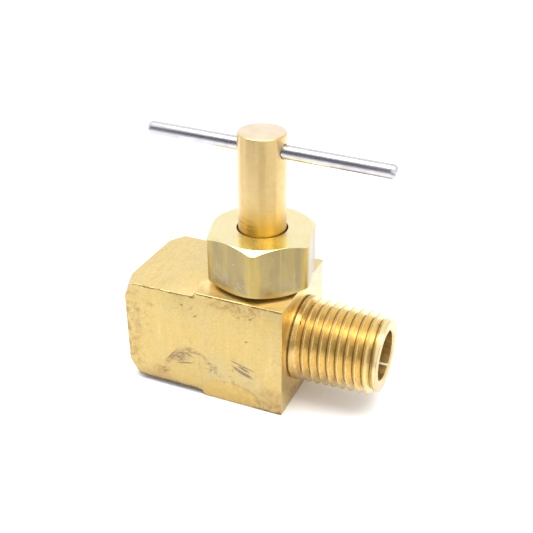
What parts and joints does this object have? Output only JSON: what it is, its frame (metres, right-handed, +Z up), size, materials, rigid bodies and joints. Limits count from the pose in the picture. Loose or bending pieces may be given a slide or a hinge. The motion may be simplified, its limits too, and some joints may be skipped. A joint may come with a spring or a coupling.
{
  "type": "needle valve",
  "caption": "Inline brass needle valve: square body with a female pipe port, a male pipe thread, a hex packing nut and a screwed stem with a T-handle bar.",
  "frame": {"origin": "on the flat underside of the body's male half, straight below the stem axis", "axes": "+X along the pipe axis towards the male thread, +Z up along the stem towards the T-handle, +Y to the back"},
  "size_m": [0.0417, 0.018, 0.0439],
  "materials": {
    "body_brass": "milled and sawn brass, worn",
    "nut_brass": "drawn brass flats, turned top",
    "inner_brass": "turned brass",
    "stem_brass": "turned and polished brass",
    "packing": "pressed PTFE",
    "o_ring": "moulded rubber",
    "bar_steel": "bright drawn steel"
  },
  "bodies": {
    "valve_body": {"body": "body_brass", "packing_washer": "inner_brass", "packing_ring_lower": "packing", "packing_ring_upper": "packing"},
    "gland": {"gland_follower": "inner_brass"},
    "nut": {"packing_nut": "nut_brass"},
    "stem_lift": {"stem_o_ring": "o_ring"},
    "handle": {"stem": "stem_brass", "t_handle_bar": "bar_steel"}
  },
  "joints": [
    {"name": "gland_slide", "type": "slide", "parent": "valve_body", "child": "gland", "axis": [0, 0, 1], "range_m": [0, 0.00382]},
    {"name": "packing_nut_turn", "type": "hinge", "parent": "gland", "child": "nut", "pos_m": [0, 0, 0.024], "axis": [0, 0, 1], "range_deg": [0, 1080]},
    {"name": "stem_slide", "type": "slide", "parent": "valve_body", "child": "stem_lift", "axis": [0, 0, 1], "range_m": [0, 0.00301]},
    {"name": "handle_turn", "type": "hinge", "parent": "stem_lift", "child": "handle", "pos_m": [0, 0, 0.04139], "axis": [0, 0, 1], "range_deg": [0, 1080]}
  ],
  "couplings": [
    {"joint": "gland_slide", "follows": "packing_nut_turn", "m_per_rad": 0.00020213},
    {"joint": "stem_slide", "follows": "handle_turn", "m_per_rad": 0.00015915}
  ]
}
